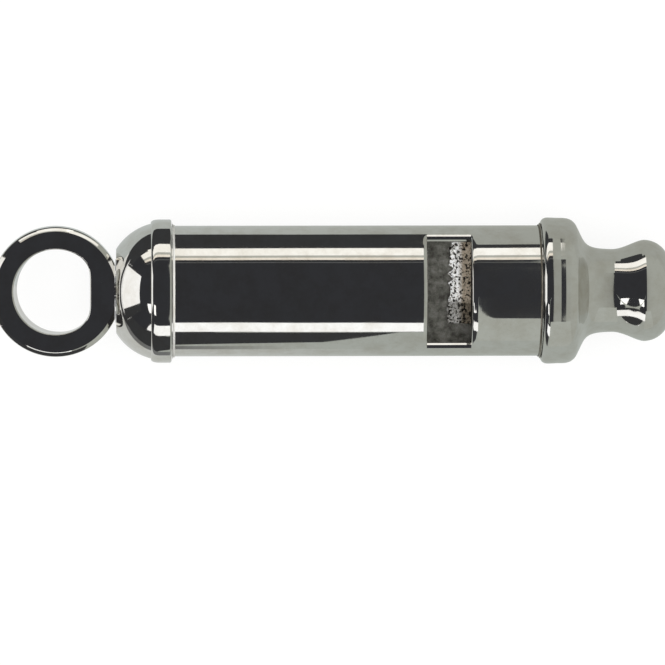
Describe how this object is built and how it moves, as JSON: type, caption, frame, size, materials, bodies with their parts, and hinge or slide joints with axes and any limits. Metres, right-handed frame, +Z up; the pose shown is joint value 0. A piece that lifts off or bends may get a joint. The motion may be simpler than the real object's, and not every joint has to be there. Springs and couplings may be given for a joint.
{
  "type": "police whistle",
  "caption": "Tubular two-tone metal whistle with a domed end cap, a swivelling hanging ring, a window across the barrel and a turned mouthpiece.",
  "frame": {"origin": "middle of the whistle's length, under its axis, on the surface that its mouthpiece collar lies on", "axes": "+X along the whistle's axis from the hanging ring to the mouthpiece, +Z up, the way the upper window faces, +Y across"},
  "size_m": [0.0826, 0.0178, 0.0178],
  "materials": {
    "nickel_plate": "polished",
    "rough_brass": "satin",
    "solder": "satin"
  },
  "bodies": {
    "whistle": {"barrel": "nickel_plate", "end_cap": "nickel_plate", "end_cap_solder_seam": "solder", "ring_rivet": "nickel_plate", "seat_washer": "nickel_plate", "rivet_washer": "rough_brass", "tone_divider": "rough_brass", "upper_windway_block": "rough_brass", "lower_windway_block": "rough_brass", "upper_solder_run": "solder", "lower_solder_run": "solder", "upper_chamber_stop": "rough_brass", "lower_chamber_stop": "rough_brass", "mouthpiece_solder_seam": "solder", "mouthpiece": "nickel_plate"},
    "ring": {"hanging_ring": "nickel_plate"}
  },
  "joints": [
    {"name": "ring_swivel", "type": "hinge", "parent": "whistle", "child": "ring", "pos_m": [-0.02655, 0, 0.00888], "axis": [1, 0, 0], "continuous": true}
  ]
}
